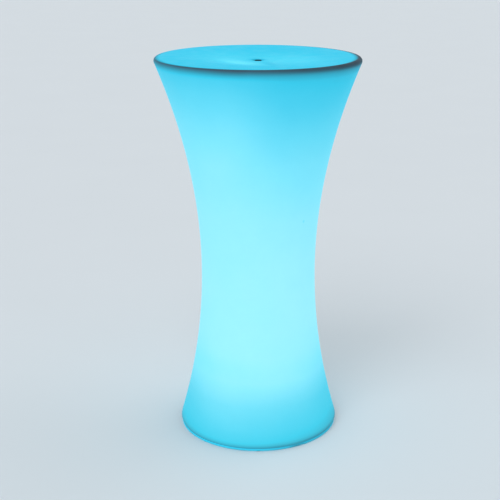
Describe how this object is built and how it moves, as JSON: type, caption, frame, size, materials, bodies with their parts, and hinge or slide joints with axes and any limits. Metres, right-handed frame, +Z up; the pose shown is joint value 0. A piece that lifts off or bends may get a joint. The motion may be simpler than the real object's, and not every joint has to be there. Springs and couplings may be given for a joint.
{
  "type": "light up bar table",
  "caption": "Round waisted bar table of translucent plastic, lit from inside by a rechargeable light unit in its base.",
  "frame": {"origin": "on the floor, under the middle of the table", "axes": "+Z up along the table's axis; the button, indicator and charging socket lie in a row along X on the -Y side, under the base"},
  "size_m": [0.581, 0.581, 1.1],
  "materials": {
    "shell_plastic": "milky rotomoulded polyethylene, satin, lit from inside",
    "pan_plastic": "milky polyethylene, lit through its edge",
    "plug_rubber": "matt dark rubber",
    "black_rubber": "matt",
    "screw_steel": "plain stainless",
    "nut_nickel": "nickel plated",
    "housing_plastic": "semi-gloss moulded",
    "switch_plastic": "fine matt texture",
    "dome_plastic": "clear, slightly frosted",
    "reflector_plastic": "bright white",
    "board_laminate": "green solder mask",
    "lamp_laminate": "white solder mask on an aluminium core",
    "cell_wrap": "shrink sleeve",
    "lead_sleeve": "smooth sleeve"
  },
  "bodies": {
    "root": {"base_pan": "pan_plastic", "battery_cell_1": "cell_wrap", "battery_cell_2": "cell_wrap", "battery_cell_3": "cell_wrap", "battery_clamp": "switch_plastic", "battery_cradle": "switch_plastic", "battery_lead": "lead_sleeve", "board_screw_1": "screw_steel", "board_screw_2": "screw_steel", "board_screw_3": "screw_steel", "board_screw_4": "screw_steel", "button_bezel": "screw_steel", "button_nut": "nut_nickel", "button_switch": "switch_plastic", "cap_hinge_pin": "screw_steel", "charge_socket": "switch_plastic", "clamp_screw_1": "screw_steel", "clamp_screw_2": "screw_steel", "control_board": "board_laminate", "dome_screw_1": "screw_steel", "dome_screw_2": "screw_steel", "dome_screw_3": "screw_steel", "dome_screw_4": "screw_steel", "dome_seal": "black_rubber", "foot_pad_1": "black_rubber", "foot_pad_2": "black_rubber", "foot_pad_3": "black_rubber", "foot_pad_4": "black_rubber", "foot_pad_5": "black_rubber", "foot_pad_6": "black_rubber", "indicator_lens": "dome_plastic", "led_board": "lamp_laminate", "led_lead": "lead_sleeve", "led_reflector": "reflector_plastic", "light_dome": "dome_plastic", "module_gasket": "black_rubber", "module_housing": "housing_plastic", "module_screw_1": "screw_steel", "module_screw_2": "screw_steel", "module_screw_3": "screw_steel", "module_screw_4": "screw_steel", "module_screw_5": "screw_steel", "module_screw_6": "screw_steel", "pan_screw_1": "screw_steel", "pan_screw_2": "screw_steel", "pan_screw_3": "screw_steel", "pan_screw_4": "screw_steel", "pan_screw_5": "screw_steel", "pan_screw_6": "screw_steel", "socket_nut": "nut_nickel", "table_shell": "shell_plastic", "vent_plug": "plug_rubber"},
    "power_button": {"power_button": "switch_plastic"},
    "socket_cap": {"socket_cap": "black_rubber"}
  },
  "joints": [
    {"name": "button_press", "type": "slide", "parent": "root", "child": "power_button", "axis": [0, 0, 1], "range_m": [0, 0.0012], "stiffness_N_per_m": 1500},
    {"name": "cap_swing", "type": "hinge", "parent": "root", "child": "socket_cap", "pos_m": [0.0329, -0.038, 0.0302], "axis": [0, -1, 0], "range_deg": [0, 110]}
  ]
}
